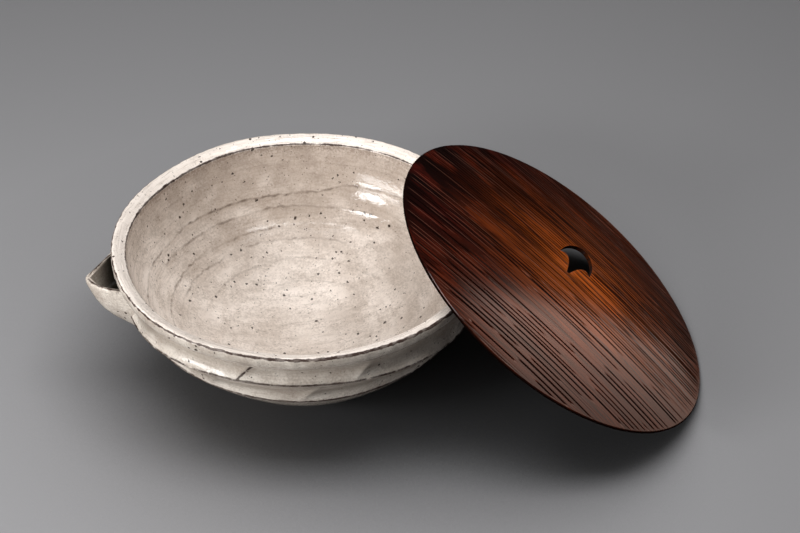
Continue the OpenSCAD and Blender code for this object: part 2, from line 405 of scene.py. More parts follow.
# %% Gap to the nearest edge
FAR_OFF = 9.0
ring_r, ring_z = np.array([r for r, z in rows]), np.array([z for r, z in rows])
net = ring_r.shape
lengths = np.hypot(np.diff(ring_r, axis=0), np.diff(ring_z, axis=0))
along = np.concatenate([np.zeros((1, columns)), np.cumsum(lengths, axis=0)])
in_front, at_back_left = hump(angle_deg, -75, 55), hump(angle_deg, 125, 40)
outer_gap = np.abs(along - along[row_rim]) - 0.1 - 0.65 * in_front
mouth_gap = np.abs(along - along[row_mouth]) + 0.02 + 0.9 * in_front - 0.45 * at_back_left
edge_gap = np.minimum(np.minimum(outer_gap, mouth_gap), FAR_OFF)
for row, seed in ((row_lower, 71), (row_upper, 72)):
    faint = 0.05 + 0.35 * ramp(ripple(angle, (3, 5, 8, 13), seed), 0.2, 0.9)
    ridge_gap = np.maximum(np.abs(along - along[row] - 0.4) - 0.4, 0) + faint
    edge_gap = np.minimum(edge_gap, ridge_gap)
sharp_end = np.abs(angle_deg + 116) < 12
for row in range(row_upper + 1, row_upper + band_rows):
    end_gap = scoop(upper_ends, ring_z[row] - 94)[1] * 2.25 - 0.55
    edge_gap[row] = np.where(sharp_end, np.minimum(edge_gap[row], end_gap), edge_gap[row])
print("points on an edge", int((edge_gap < 0.5).sum()))

# %% [markdown]
# More marks: the painted shade lines inside with their force, the darker band just under the mouth, how white the glaze
# lies, with painted shade and light on the inner wall, what is outside, and where the wall behind the beak is dark, as
# bare clay and as painted shade.

# %% Painted shade lines, the band under the mouth, and whiteness with painted wall shade
turn_gap, turn_force, under_mouth_band = np.full(net, FAR_OFF), np.zeros(net), np.zeros(net)
turn_gap[row_inside:], turn_force[row_inside:] = gap_here, force_here
# A narrow band just under the mouth's inner edge, painted darker.
under_mouth_band[row_mouth:] = 1 - ramp(along[row_mouth:] - along[row_mouth], 1.0, 8.0)
whiteness_and_shade = np.full(net, 0.34)
for first in (row_lower, row_upper):
    for step in range(band_rows):
        up = (step / band_rows) ** 1.5
        whiteness_and_shade[first + step] = 0.62 - 0.62 * ramp(up, 0.15, 0.55) + 0.3 * ramp(up, 0.8, 1.0)
whiteness_and_shade[row_rim:row_inside] = 1.4
# Painted shade and light: inside, the wall is darker than the floor and darkest at the back, and lighter on the spout's
# side.
wall_shade_share = 1 - ramp(inside_s, 50, 110)[:, None]
from_spout = np.abs((angle_deg + 360) % 360 - 180)
far_wall_painted_shade, spout_side_painted_light = hump(angle_deg, 95, 45), hump(from_spout, 0, 38)
whiteness_and_shade[row_inside:] = 0.66 + wall_shade_share * (-0.30 - 0.34 * far_wall_painted_shade + 0.40 * spout_side_painted_light)
row_number = np.arange(len(rows))[:, None]
outside = np.repeat((row_number < row_rim - 1).astype(float), columns, 1)
# Bare clay behind the beak, made darker also as painted shade of the deep hollow.
behind_beak = (1 - ramp(from_spout, 10, 11.5)) * (row_number < row_rim)
bare_and_shade = behind_beak * ramp(ring_z, 66, 72) * (1 - ramp(ring_z, 101, 104))
print("whiteness_and_shade", round(float(whiteness_and_shade.min()), 2), "to", round(float(whiteness_and_shade.max()), 2))

# %% [markdown]
# The rows are now joined to a closed net, with one point in the middle of the base and one in the middle of the floor.

# %% Net of the bowl


def solid_mesh(name, points_mm, faces, marks=None):
    """An object from points in millimetres, with one number for each point under each name in marks."""
    mesh = bpy.data.meshes.new(name)
    mesh.from_pydata([tuple(p) for p in np.asarray(points_mm) * MM], [], faces)
    for key, values in (marks or {}).items():
        attribute = mesh.attributes.new(key, "FLOAT", "POINT")
        attribute.data.foreach_set("value", np.asarray(values, np.float32))
    mesh.validate()
    made = bpy.data.objects.new(name, mesh)
    bpy.context.collection.objects.link(made)
    return made


def with_poles(values, at_base, at_floor):
    return np.concatenate([np.asarray(values).reshape(-1), [at_base, at_floor]])


points = np.stack([ring_r * np.cos(angle), ring_r * np.sin(angle), ring_z], axis=2).reshape(-1, 3)
points = np.concatenate([points, [[0, 0, base_h], [0, 0, float(ring_z[-1].mean())]]])
count, last = len(rows), len(points) - 1
top = (count - 1) * columns
faces = []
for i in range(count - 1):
    for j in range(columns):
        k = (j + 1) % columns
        faces.append((i * columns + j, i * columns + k, (i + 1) * columns + k, (i + 1) * columns + j))
for j in range(columns):
    k = (j + 1) % columns
    faces.append((last - 1, k, j))
    faces.append((last, top + j, top + k))
glazed_bowl = solid_mesh("glazed_bowl", points, faces, {
    "edge_gap": with_poles(edge_gap, FAR_OFF, FAR_OFF),
    "down_wall": with_poles(along, 0, float(along[-1].mean())),
    "bare_and_shade": with_poles(bare_and_shade, 0, 0),
    "outside": with_poles(outside, 1, 0),
    "turn_gap": with_poles(turn_gap, FAR_OFF, FAR_OFF),
    "turn_force": with_poles(turn_force, 0, 0),
    "under_mouth_band": with_poles(under_mouth_band, 0, 0),
    "whiteness_and_shade": with_poles(whiteness_and_shade, 0.3, 0.8),
})
print("bowl net", count, "x", columns)

# %% [markdown]
# The water leaves through a small hole behind the spout, pushed through the soft wall with a stick. The rows don't run
# round it, so a boolean cuts it, and the result is kept as the mesh itself.

# %% Pouring hole


def finish_mesh(obj, crease_deg):
    """Applies the modifiers, shades the faces smooth and keeps edges above the crease angle sharp."""
    bpy.context.view_layer.update()
    ready = bpy.data.meshes.new_from_object(obj.evaluated_get(bpy.context.evaluated_depsgraph_get()))
    obj.modifiers.clear()
    obj.data = ready
    ready.polygons.foreach_set("use_smooth", [True] * len(ready.polygons))
    ready.set_sharp_from_angle(angle=np.radians(crease_deg))
    print(obj.name, len(ready.vertices), "points", len(ready.polygons), "faces")


def cut_away(obj, cutter):
    """Cuts one closed mesh out of another, and removes the cutter."""
    cut = obj.modifiers.new("cut", "BOOLEAN")
    cut.operation, cut.solver, cut.object = "DIFFERENCE", "MANIFOLD", cutter
    finish_mesh(obj, 40)
    bpy.data.objects.remove(cutter)


stick_mesh = bmesh.new()
bmesh.ops.create_cone(
    stick_mesh, cap_ends=True, segments=40, radius1=5 * MM, radius2=5 * MM, depth=32 * MM,
    matrix=Matrix.Translation((-0.122, -0.0105, 0.097)) @ Matrix.Rotation(np.pi / 2, 4, "Y"),
)
stick_data = bpy.data.meshes.new("stick")
stick_mesh.to_mesh(stick_data)
stick_mesh.free()
stick = bpy.data.objects.new("stick", stick_data)
bpy.context.collection.objects.link(stick)
cut_away(glazed_bowl, stick)
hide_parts("bowl_body")
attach(glazed_bowl, "jar")

# %% [markdown]
# ## The spout
# The beak is pinched from a slab and luted on: wide and deep at the wall, pointed at the lip, with the clay smoothed
# over the joint. It is made of strands that run from the wall to the tip: a row of them for the outside, one for each
# lip and a row for the inside. The lists give half the width and the depth at several reaches from the bowl's axis.

# %% Sizes of the beak (mm)
steps, strands = 40, 44
arc = np.linspace(0, np.pi, strands + 1)
run = np.linspace(0, 1, steps + 1)
lip_z = 104.0
reach_mm = [100, 118, 124, 130, 136, 142, 147, 150, 151.6, 152.4]
half_w_mm = [42, 34, 30, 26, 21.5, 15.5, 9.8, 5.8, 3.2, 1.4]
depth_mm = [62, 48, 43.5, 39, 33.5, 26, 17.0, 9.5, 5.5, 3.2]
inner_reach_mm = [100, 118, 124, 130, 136, 142, 146, 148.0, 149.0]
inner_half_w_mm = [38, 30.5, 26.6, 22.8, 18.0, 11.6, 6.2, 2.6, 0.4]
inner_depth_mm = [57, 44, 39.5, 35, 29.5, 21, 12.0, 5.0, 1.6]
print("beak reaches", reach_mm[-1], "mm")

# %% [markdown]
# Each strand starts in the middle of the bowl's wall, so the joint is closed. The place is found by halving a span.

# %% Strands of the beak


def wall_middle(z):
    """Radius of the middle of the bowl's wall at a height, where the strands start out of sight."""
    return np.interp(z, [40, 55, 66, 88, 96, 104, 108], [88, 101, 109, 122.0, 124.5, 127.2, 128])


def strand_sheet(reaches, half_ws, depths, squareness):
    """Points of one sheet, for each place along the run and each strand."""
    side = np.sign(np.cos(arc)) * np.abs(np.cos(arc)) ** (2 / squareness)
    down = np.abs(np.sin(arc)) ** (2 / squareness)

    def section(x):
        return np.interp(x, reaches, half_ws) * side, lip_z - np.interp(x, reaches, depths) * down

    near, far = np.full(strands + 1, 100.0), np.full(strands + 1, 140.0)
    for _ in range(30):
        x = (near + far) / 2
        y, z = section(x)
        in_wall = np.hypot(x, y) < wall_middle(z)
        near, far = np.where(in_wall, x, near), np.where(in_wall, far, x)
    sheet = []
    for u in run:
        x = near + (reaches[-1] - near) * (1 - (1 - u) ** 1.6)
        sheet.append(np.stack([-x, *section(x)], axis=1))
    return np.array(sheet)


outer = strand_sheet(reach_mm, half_w_mm, depth_mm, 2.15)
inner = strand_sheet(inner_reach_mm, inner_half_w_mm, inner_depth_mm, 2.0)
lip_right = (outer[:, 0] + inner[:, 0]) / 2 + [0, 0, 0.7]
lip_left = (outer[:, -1] + inner[:, -1]) / 2 + [0, 0, 0.7]
lip_wave = 0.5 * np.sin(run * 7 + 0.6)[:, None]
for sheet in (outer, inner):
    sheet[:, :, 2] += lip_wave * np.abs(np.cos(arc))[None]
loop = np.concatenate([outer, lip_left[:, None], inner[:, ::-1], lip_right[:, None]], axis=1)
around = loop.shape[1]
print("beak net", loop.shape)

# %% [markdown]
# The soft clay sank before firing: the tip hangs a little, and it turns to the front. So the strands are pulled that
# way more and more towards the tip. The lips get a brown edge, and the hollow gets dark towards the wall: bare clay,
# with painted shade of the deep hollow.

# %% Faces and marks of the beak
tip_pull = np.array([[-1.6, -2.4, -2.6]])
points = np.concatenate([loop.reshape(-1, 3), [[-150.6, 0, 104.6]]])
points = points + ramp(-points[:, :1], 126, 152) * tip_pull
faces = []
for i in range(steps):
    for j in range(around):
        k = (j + 1) % around
        faces.append((i * around + j, (i + 1) * around + j, (i + 1) * around + k, i * around + k))
nose = steps * around
for j in range(around):
    faces.append((nose + j, len(points) - 1, nose + (j + 1) % around))
inside_of = [2 * strands + 2 - j for j in range(strands + 1)]
for j in range(strands):
    faces.append((j, j + 1, inside_of[j + 1], inside_of[j]))
faces.append((strands, strands + 1, strands + 2))
faces.append((0, inside_of[0], around - 1))
lip_gap = np.full(loop.shape[:2], FAR_OFF)
for edge in (strands + 1, around - 1):
    lip_gap = np.minimum(lip_gap, np.linalg.norm(loop - loop[:, edge][:, None], axis=2) - 0.5)
lip_gap = np.append(np.maximum(lip_gap, 0).reshape(-1), 3.0)
# Inside the beak, dark towards the wall: bare clay, and painted shade of the deep hollow.
beak_bare_and_shade = np.zeros(loop.shape[:2])
beak_bare_and_shade[:, strands + 2 : 2 * strands + 3] = 1 - ramp(-inner[:, ::-1, 0], 134, 150)
print("beak faces", len(faces))

# %% Mesh of the beak
white_beak = np.full(len(points), 0.40)
white_beak[-1] = 0.6
glazed_spout = solid_mesh("glazed_spout", points, faces, {
    "edge_gap": lip_gap,
    "down_wall": np.append(-loop[:, :, 2].reshape(-1), 0.0),
    "bare_and_shade": np.append(beak_bare_and_shade.reshape(-1), 0.0),
    "outside": np.ones(len(points)),
    "turn_gap": np.full(len(points), FAR_OFF),
    "turn_force": np.zeros(len(points)),
    "under_mouth_band": np.zeros(len(points)),
    "whiteness_and_shade": white_beak,
})
bm = bmesh.new()
bm.from_mesh(glazed_spout.data)
bmesh.ops.recalc_face_normals(bm, faces=bm.faces)
bm.to_mesh(glazed_spout.data)
bm.free()
finish_mesh(glazed_spout, 60)
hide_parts("pouring_spout")
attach(glazed_spout, "jar")

# %% [markdown]
# ## The lid
# The lid is a thin domed board. Its soft early wood was brushed out before lacquering, so the grain stands in fine
# parallel grooves. Bump in the finish could show them, but the mesh itself would stay smooth. So the net's rows run
# along the grain, a fifth of a millimetre apart, and each groove is real and five to eight rows wide. Both faces are
# parts of balls, as in the construction.

# %% Place of the lid and its two faces (mm)
lid_r, lid_t, lid_edge_t, lid_dome, lid_bevel = 134.0, 3.5, 3.0, 7.0, 0.8
lid_place = (
    Matrix.Rotation(np.radians(lean_deg), 4, "Z")
    @ Matrix.Translation((180.707, 0, 76.600))
    @ Matrix.Rotation(np.radians(35.0), 4, "Y")
    @ Matrix.Rotation(np.radians(-24.6), 4, "Z")
)
turn_lid = np.array(lid_place)
under_r = (lid_r**2 + lid_dome**2) / (2 * lid_dome)
top_rise = lid_dome + lid_t - lid_edge_t
top_r = (lid_r**2 + top_rise**2) / (2 * top_rise)


def top_height(r):
    return np.sqrt(top_r**2 - r**2) - top_r + lid_dome + lid_t


def under_height(r):
    return np.sqrt(under_r**2 - r**2) - under_r + lid_dome


def lean_over(points_mm):
    """From the lid's own frame to the place where it leans."""
    return points_mm @ turn_lid[:3, :3].T + turn_lid[:3, 3]


print("faces of balls", round(top_r), "and", round(under_r), "mm in radius")

# %% [markdown]
# The grooves are drawn at random into a table of rows and columns: soft ones on the far half, a few painted glint
# lines, thin painted highlights along the grain that are only coloured, as numbers below 0, and dark dashes, most of
# them on the near half.

# %% Grooves of the grain
grain_rows, grain_columns = 1380, 48
flat_r = lid_r - lid_bevel
across = np.linspace(-0.9996, 0.9996, grain_rows) * flat_r
rng = np.random.default_rng(7)
groove_and_glint = np.zeros((grain_rows, grain_columns))
ends = np.linspace(-1, 1, grain_columns)
soft_rows, glint_rows = 6, 4


def dashes(row, pieces, shortest, longest):
    """Where along a row a groove is open: a few dashes, each with soft ends."""
    along_mm = ends * np.sqrt(flat_r**2 - across[row] ** 2)
    mask = np.zeros(grain_columns)
    for _ in range(pieces):
        middle, half = rng.uniform(-125, 125), rng.uniform(shortest, longest)
        mask = np.maximum(mask, 1 - ramp(np.abs(along_mm - middle), half * 0.75, half))
    return mask


def near_half(row):
    return float(ramp(-across[row], -25, 30))


row = 4
while row < grain_rows - 6:
    depth = max(rng.uniform(0.55, 0.95) - 0.8 * near_half(row), 0)
    groove_and_glint[row : row + soft_rows] = depth * dashes(row, 3, 28, 110)
    row += soft_rows + int(rng.integers(7, 15))
row = 9
while row < grain_rows - 6:
    # Painted highlight: thin light lines along the grain that stand for glints on groove edges.
    glint = -0.5 * np.maximum(ramp(across[row], -20, 5), ramp(-ends, 0.2, 0.5)) * dashes(row, 3, 15, 60)
    here = groove_and_glint[row : row + glint_rows]
    groove_and_glint[row : row + glint_rows] = np.where(here < 0.1, glint, here)
    row += glint_rows + int(rng.integers(10, 24))
row = 6
while row < grain_rows - 10:
    width = int(rng.integers(5, 9))
    dark = rng.uniform(0.9, 1.0) * dashes(row, 4, 12, 42) * (0.55 + 0.45 * near_half(row))
    here = groove_and_glint[row : row + width]
    groove_and_glint[row : row + width] = np.where(dark > 0.3, np.maximum(here, dark), here)
    row += width + int(rng.integers(10, 24) + 18 * (1 - near_half(row)))
print("grooves cover", round(float((groove_and_glint > 0.2).mean()), 3), "of the board")

# %% [markdown]
# The board's top is that table laid on the dome. From its border, rings of points run down the bevel and the edge and
# then under the board to its middle, so the whole is one closed net.

# %% Top of the board
groove_depth = 0.16
grid_x = np.sqrt(flat_r**2 - across**2)[:, None] * ends[None]
grid_y = np.repeat(across[:, None], grain_columns, 1)
radius = np.hypot(grid_x, grid_y)
edge_fade = 1 - ramp(radius, flat_r - 3, flat_r - 0.5)
grid_z = top_height(np.minimum(radius, flat_r)) - groove_depth * np.maximum(groove_and_glint, 0) * edge_fade
points = np.stack([grid_x, grid_y, grid_z], axis=2).reshape(-1, 3)
top_points = len(points)
faces = []
for i in range(grain_rows - 1):
    for j in range(grain_columns - 1):
        a = i * grain_columns + j
        faces.append((a, a + 1, a + grain_columns + 1, a + grain_columns))
print("board net", grain_rows, "x", grain_columns)

# %% Edge and underside of the board
first_row = range(grain_columns - 1)
last_row = range(top_points - 1, top_points - grain_columns, -1)
right = [i * grain_columns + grain_columns - 1 for i in range(grain_rows - 1)]
left = [i * grain_columns for i in range(grain_rows - 1, 0, -1)]
border = [*first_row, *right, *last_row, *left]
direction = points[border, :2] / np.linalg.norm(points[border, :2], axis=1)[:, None]
edge_rings = [(lid_r, lid_edge_t - lid_bevel), (lid_r - 0.4, 1.0), (lid_r - 3.2, 0.0)]
under_shares = (0.95, 0.88, 0.8, 0.7, 0.6, 0.5, 0.4, 0.3, 0.2, 0.1)
under_rings = [(flat_r * t, float(under_height(flat_r * t))) for t in under_shares]
previous, size = border, len(border)
for r, z in edge_rings + under_rings:
    start = len(points)
    points = np.concatenate([points, np.c_[direction * r, np.full(size, z)]])
    current = list(range(start, start + size))
    for j in range(size):
        k = (j + 1) % size
        faces.append((previous[k], previous[j], current[j], current[k]))
    previous = current
points = np.concatenate([points, [[0, 0, float(under_height(0.0))]]])
for j in range(size):
    faces.append((previous[(j + 1) % size], previous[j], len(points) - 1))
groove_and_glint_mark = np.zeros(len(points))
groove_and_glint_mark[:top_points] = (groove_and_glint * edge_fade).reshape(-1)
groove_and_glint_mark[top_points : top_points + len(edge_rings) * size] = 0.9
lacquered_lid = solid_mesh("lacquered_lid", lean_over(points), faces, {"groove_and_glint": groove_and_glint_mark})
print("board", len(points), "points", len(faces), "faces")

# %% [markdown]
# The finger hole is sawn through the board: a tall arch, and below it two bites that leave a point in the middle.
# Its outline follows the construction's own values, and a prism of it is cut away.

# %% Finger hole
half_w, shoulder, arch, stem, stem_half_w, shift = 14.5, 27.0, 28.5, 9.5, 1.2, 1.4
sweep = np.radians(np.arange(0, 180, 5.0))
outline = [(half_w * np.cos(a), shoulder + arch * np.sin(a)) for a in sweep]
pulls = np.array([
    (-half_w, shoulder), (-0.65 * half_w, shoulder + 0.25 * arch),
    (-0.31 * half_w, shoulder + 0.12 * arch), (-stem_half_w, stem),
])
for t in np.linspace(0, 1, 17):
    outline.append(tuple(np.array([(1 - t) ** 3, 3 * (1 - t) ** 2 * t, 3 * (1 - t) * t * t, t**3]) @ pulls))
outline += [(-x, y) for x, y in outline[-1:-17:-1]]
n = len(outline)
prism = lean_over(np.array([(x + shift, y, z) for z in (-4.0, 16.0) for x, y in outline]))
sides = [(j, (j + 1) % n, n + (j + 1) % n, n + j) for j in range(n)]
saw_cut = solid_mesh("saw_cut", prism, [tuple(range(n - 1, -1, -1)), tuple(range(n, 2 * n)), *sides])
cut_away(lacquered_lid, saw_cut)
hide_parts("lid_board")
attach(lacquered_lid, "lid")

# %% [markdown]
# ## Shared effects
# Specks of iron, cloudy colour, broken brown lines and wood grain are each a node group with named sockets, so that
# every finish places them with its own values. A group puts out masks and values only, and the shader stays in the
# material.

# %% Group builder
VECTOR, FLOAT = "NodeSocketVector", "NodeSocketFloat"


def new_group(name, inputs, outputs):
    """An empty node group with these sockets."""
    group = bpy.data.node_groups.new(name, "ShaderNodeTree")
    for socket, value in inputs.items():
        kind = VECTOR if value is None else FLOAT
        made = group.interface.new_socket(socket, in_out="INPUT", socket_type=kind)
        if value is not None:
            made.default_value = value
    for socket in outputs:
        group.interface.new_socket(socket, in_out="OUTPUT", socket_type=FLOAT)
    return group, group.nodes.new("NodeGroupInput").outputs, group.nodes.new("NodeGroupOutput").inputs


def place_group(tree, group, **sockets):
    return put(tree, "ShaderNodeGroup", {"node_tree": group}, **sockets).outputs


def noise(tree, place, scale, detail, roughness=0.5):
    """Soft noise from 0 to 1."""
    sockets = {"Vector": place, "Scale": scale, "Detail": detail, "Roughness": roughness}
    return put(tree, "ShaderNodeTexNoise", **sockets).outputs[0]


print("group helpers ready")

# %% [markdown]
# A speck sits in the middle of a cell of a Voronoi pattern. Each cell draws its own chance and its own size, and the
# place is shaken by fine noise, so that the specks get ragged.

# %% Specks
specks, given, gives = new_group("iron_specks", {"Place": None, "Scale": 140.0, "Size": 0.09, "Share": 0.3}, ["Mask"])
ragged = put(specks, "ShaderNodeTexNoise", Vector=given["Place"], Scale=900.0, Detail=1.0).outputs["Color"]
ragged = put(specks, "ShaderNodeVectorMath", {"operation": "SCALE"}, _0=ragged, Scale=0.0020).outputs[0]
moved = put(specks, "ShaderNodeVectorMath", {"operation": "ADD"}, _0=given["Place"], _1=ragged).outputs[0]
cells = put(specks, "ShaderNodeTexVoronoi", Vector=moved, Scale=given["Scale"])
chance = put(specks, "ShaderNodeSeparateColor", _0=cells.outputs["Color"]).outputs
reach = times(specks, given["Size"], plus(specks, times(specks, chance[0], chance[0]), 0.5))
inside = spread(specks, minus(specks, reach, cells.outputs["Distance"]), 0.0, 0.03)
kept = math_node(specks, "LESS_THAN", chance[1], given["Share"])
specks.links.new(times(specks, inside, kept), gives["Mask"])
print(specks.name, len(specks.nodes), "nodes")

# %% [markdown]
# Clouds are noise at two sizes. A broken line takes the gap kept on the net, lets it waver by noise, and is dark where
# the gap is less than the line's width.

# %% Clouds and broken lines
clouds, given, gives = new_group("clouds", {"Place": None, "Scale": 30.0}, ["Broad", "Fine"])
broad = noise(clouds, given["Place"], given["Scale"], 4.0, 0.55)
close = noise(clouds, given["Place"], times(clouds, given["Scale"], 9.0), 3.0, 0.6)
clouds.links.new(spread(clouds, broad, 0.32, 0.68), gives["Broad"])
clouds.links.new(spread(clouds, close, 0.32, 0.68), gives["Fine"])
line_sockets = {"Place": None, "Gap": 9.0, "Width": 0.6, "Waver": 0.8, "Scale": 160.0, "Soft": 0.27}
broken, given, gives = new_group("broken_line", line_sockets, ["Mask"])
wander = minus(broken, noise(broken, given["Place"], given["Scale"], 3.0, 0.6), 0.5)
swing = times(broken, times(broken, wander, given["Waver"]), 2.0)
rest = minus(broken, given["Width"], plus(broken, given["Gap"], swing))
share = spread(broken, rest, times(broken, given["Soft"], -1.0), given["Soft"])
broken.links.new(share, gives["Mask"])
print(clouds.name, len(clouds.nodes), "nodes,", broken.name, len(broken.nodes), "nodes")

# %% [markdown]
# Wood grain is noise drawn out along X: broad bands, patches, streaks and hairs, each with its own stretch.

# %% Grain
grain, given, gives = new_group("wood_grain", {"Place": None}, ["Broad", "Patch", "Streak", "Hair"])
for socket, stretch, scale, detail in (
    ("Broad", (4.0, 24.0, 24.0), 2.0, 3.0),
    ("Patch", (9.0, 26.0, 11.0), 2.3, 3.0),
    ("Streak", (4.0, 150.0, 150.0), 4.0, 3.0),
    ("Hair", (4.0, 220.0, 220.0), 5.0, 2.0),
):
    drawn_out = put(grain, "ShaderNodeMapping", Vector=given["Place"], Scale=stretch).outputs[0]
    grain.links.new(spread(grain, noise(grain, drawn_out, scale, detail, 0.55), 0.3, 0.7), gives[socket])
print(grain.name, len(grain.nodes), "nodes")

# %% [markdown]
# ## Milky glaze
# A thick cream glaze over dark clay: whitest where it lies thick on the mouth, greyer on the walls, brown where it
# thins over an edge, with iron specks that melted through. Inside, the wall's grey is painted shade, darkest at the
# back, with painted light on the spout's side. First comes the cream itself, clouded by noise and a little cooler
# outside, with greyer blots where it lies thin.

# %% Cream clouds and blots


def mark(tree, name):
    """A number kept at the net's points."""
    return put(tree, "ShaderNodeAttribute", {"attribute_name": name}).outputs["Fac"]


milky_glaze, tree, shader = new_material("milky_glaze")
place = put(tree, "ShaderNodeTexCoord").outputs["Object"]
cloud = place_group(tree, clouds, Place=place, Scale=34.0)
blot = place_group(tree, clouds, Place=place, Scale=72.0)
# The whiteness mark also carries the painted shade and light of the inner wall.
white_and_shade = plus(tree, mark(tree, "whiteness_and_shade"), times(tree, minus(tree, cloud["Broad"], 0.5), 0.7))
warm_cream = blend_colour(tree, white_and_shade, (0.56, 0.47, 0.40, 1), (0.95, 0.85, 0.77, 1))
cool_cream = blend_colour(tree, white_and_shade, (0.53, 0.475, 0.405, 1), (0.90, 0.83, 0.735, 1))
colour = blend_colour(tree, times(tree, mark(tree, "outside"), 0.75), warm_cream, cool_cream)
mottle = plus(tree, times(tree, blot["Fine"], 0.62), times(tree, blot["Broad"], 0.58))
mottle = minus(tree, mottle, plus(tree, times(tree, white_and_shade, 0.34), 0.23))
colour = blend_colour(tree, mottle, colour, (0.38, 0.305, 0.25, 1))
print("cream", len(tree.nodes), "nodes")

# %% [markdown]
# The glaze was brushed on while the pot turned, so grey stripes run round the wall and drag across the floor. On the
# mouth the strokes lie across the band, and just under it the colour is darker in a narrow band.

# %% Stripes and strokes
axis_x, axis_y = put(tree, "ShaderNodeSeparateXYZ", _0=place).outputs[:2]
down = mark(tree, "down_wall")
wound = {"_0": times(tree, down, 0.6), "_1": times(tree, axis_x, 55.0), "_2": times(tree, axis_y, 55.0)}
stripes = noise(tree, put(tree, "ShaderNodeCombineXYZ", **wound).outputs[0], 1.0, 3.0, 0.6)
dragged = put(tree, "ShaderNodeMapping", Vector=place, Scale=(45.0, 240.0, 160.0)).outputs[0]
on_floor = spread(tree, down, 250.0, 300.0)
stripes = put(tree, "ShaderNodeMix", _0=on_floor, _2=stripes, _3=noise(tree, dragged, 1.0, 4.0, 0.65)).outputs[0]
colour = blend_colour(tree, spread(tree, stripes, 0.48, 0.75, 0.0, 0.50), colour, (0.36, 0.29, 0.235, 1))
outward = put(tree, "ShaderNodeCombineXYZ", _0=axis_x, _1=axis_y).outputs[0]
outward = put(tree, "ShaderNodeVectorMath", {"operation": "NORMALIZE"}, _0=outward).outputs[0]
on_rim = spread(tree, mark(tree, "whiteness_and_shade"), 0.9, 1.0)
strokes = spread(tree, noise(tree, outward, 95.0, 3.0, 0.6), 0.52, 0.78, 0.0, 0.26)
colour = blend_colour(tree, times(tree, strokes, on_rim), colour, (0.52, 0.43, 0.37, 1))
# Darker in a narrow band just under the mouth's inner edge.
under_mouth_darkening = spread(tree, plus(tree, blot["Fine"], mark(tree, "under_mouth_band")), 0.75, 1.7, 0.0, 0.5)
under_mouth_darkening = times(tree, under_mouth_darkening, math_node(tree, "GREATER_THAN", mark(tree, "under_mouth_band"), 0.001))
colour = blend_colour(tree, under_mouth_darkening, colour, (0.22, 0.16, 0.12, 1))
print("stripes", len(tree.nodes), "nodes")

# %% [markdown]
# The lines inside are painted shade of the groove under each ledge, soft and broken by noise in places. The brown edges
# are narrow and sharp, and noise bites them paler.

# %% Lines
# Painted shade: a dark line along each turn, where the groove under the ledge lies in shade, broken by noise.
turn_shade_line = place_group(
    tree, broken, Place=place, Gap=mark(tree, "turn_gap"), Width=0.65, Waver=1.3, Scale=200.0, Soft=0.6
)["Mask"]
shade_breaks = spread(tree, noise(tree, place, 58.0, 4.0, 0.65), 0.40, 0.60, 0.15, 1.0)
turn_shade_line = times(tree, times(tree, turn_shade_line, shade_breaks), times(tree, mark(tree, "turn_force"), 0.9))
colour = blend_colour(tree, turn_shade_line, colour, (0.17, 0.125, 0.095, 1))
edge_line = place_group(
    tree, broken, Place=place, Gap=mark(tree, "edge_gap"), Width=0.48, Waver=1.15, Scale=200.0
)["Mask"]
bitten = spread(tree, noise(tree, place, 150.0, 3.0, 0.6), 0.36, 0.58, 0.8, 1.0)
edge_line = times(tree, edge_line, bitten)
colour = blend_colour(tree, edge_line, colour, (0.036, 0.016, 0.010, 1))
print("lines", len(tree.nodes), "nodes")

# %% [markdown]
# Iron specks crowd in some places more than in others, most of all on the floor and on the mouth, with finer dust
# between them. Behind and inside the beak the clay is nearly black: bare where no glaze reached, and darkened as
# painted shade of the deep hollow.

# %% Specks and bare places
crowd = spread(tree, noise(tree, place, 14.0, 1.0), 0.38, 0.64, 0.03, 0.32)
crowd = plus(tree, crowd, times(tree, plus(tree, on_floor, on_rim), 0.14))
fleck = place_group(tree, specks, Place=place, Scale=250.0, Size=0.22, Share=crowd)["Mask"]
dust = place_group(tree, specks, Place=place, Scale=650.0, Size=0.24, Share=0.28)["Mask"]
iron = math_node(tree, "MAXIMUM", fleck, times(tree, dust, 0.6))
colour = blend_colour(tree, times(tree, iron, 0.94), colour, (0.035, 0.020, 0.013, 1))
# Bare clay and painted shade behind and inside the beak.
colour = blend_colour(tree, times(tree, mark(tree, "bare_and_shade"), 0.97), colour, (0.022, 0.017, 0.010, 1))
tree.links.new(colour, shader.inputs["Base Color"])
print("specks", len(tree.nodes), "nodes")

# %% [markdown]
# The glaze is wet and bright on the wall, and duller low down and on the brown edges. Specks and edges lie a little
# deeper than the glaze round them.

# %% Gloss of the glaze


def raise_skin(tree, shader, height, strength, distance):
    """Fine relief that is too small for the net."""
    bump = put(tree, "ShaderNodeBump", Strength=strength, Distance=distance, Height=height)
    tree.links.new(bump.outputs[0], shader.inputs["Normal"])


def paint(material, *objects):
    for obj in objects:
        obj.data.materials.clear()
        obj.data.materials.append(material)
    print(material.name, "on", [obj.name for obj in objects], len(material.node_tree.nodes), "nodes")


wet = spread(tree, cloud["Fine"], 0.0, 1.0, 0.04, 0.10)
dull = plus(tree, spread(tree, down, 255.0, 262.0, 0.0, 0.5), times(tree, edge_line, 0.75))
tree.links.new(plus(tree, wet, dull), shader.inputs["Roughness"])
pits = plus(tree, iron, times(tree, edge_line, 0.6))
raise_skin(tree, shader, minus(tree, times(tree, cloud["Fine"], 0.5), pits), 0.22, 0.0006)
shader.inputs["Specular IOR Level"].default_value = 0.5
paint(milky_glaze, glazed_bowl, glazed_spout)

# %% [markdown]
# ## Bare clay
# The foot ring was wiped clean before the firing, so that it doesn't stick to the shelf: a brown sandy body with pale
# grog and darker burnt patches.

